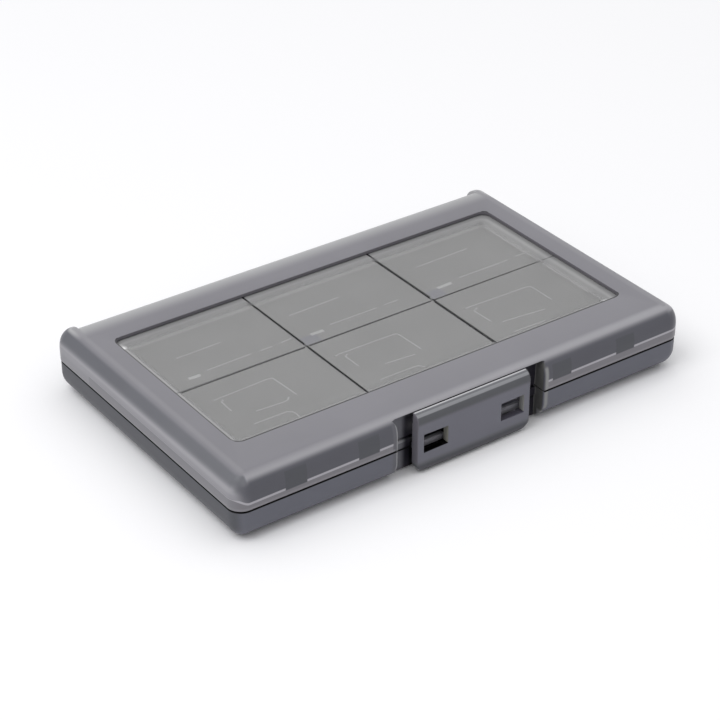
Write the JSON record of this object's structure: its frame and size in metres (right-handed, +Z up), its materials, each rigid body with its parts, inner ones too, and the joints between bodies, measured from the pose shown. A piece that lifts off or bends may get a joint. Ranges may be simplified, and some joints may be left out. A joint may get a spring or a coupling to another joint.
{
  "type": "game card case",
  "caption": "Slim hinged hard-plastic case for small game cards, with a smoked lid window, pocketed trays and a front flap latch.",
  "frame": {"origin": "on the table, under the middle of the closed case with its latch and hinge knuckles", "axes": "+X along the case's long side, from the left end to the right end; -Y is the front with the latch; +Z up, out of the window"},
  "size_m": [0.1124, 0.0724, 0.015],
  "materials": {
    "base_plastic": "translucent smoke grey, darker than the lid, fine satin",
    "tray_plastic": "satin mid grey",
    "pin_steel": "plain drawn steel",
    "lid_plastic": "translucent smoke grey, fine satin",
    "smoked_sheet": "clear smoked sheet"
  },
  "bodies": {
    "base": {"base_shell": "base_plastic", "base_card_tray": "tray_plastic", "hinge_pin_left": "pin_steel", "hinge_pin_right": "pin_steel"},
    "lid": {"lid_shell": "lid_plastic", "window_pane": "smoked_sheet", "lid_card_tray": "tray_plastic", "latch_pin": "pin_steel"},
    "latch": {"latch_flap": "lid_plastic"}
  },
  "joints": [
    {"name": "lid_hinge", "type": "hinge", "parent": "base", "child": "lid", "pos_m": [0, 0.03495, 0.0075], "axis": [-1, 0, 0], "range_deg": [0, 180]},
    {"name": "latch_hinge", "type": "hinge", "parent": "lid", "child": "latch", "pos_m": [0, -0.0344, 0.01234], "axis": [-1, 0, 0], "range_deg": [0, 90]}
  ]
}
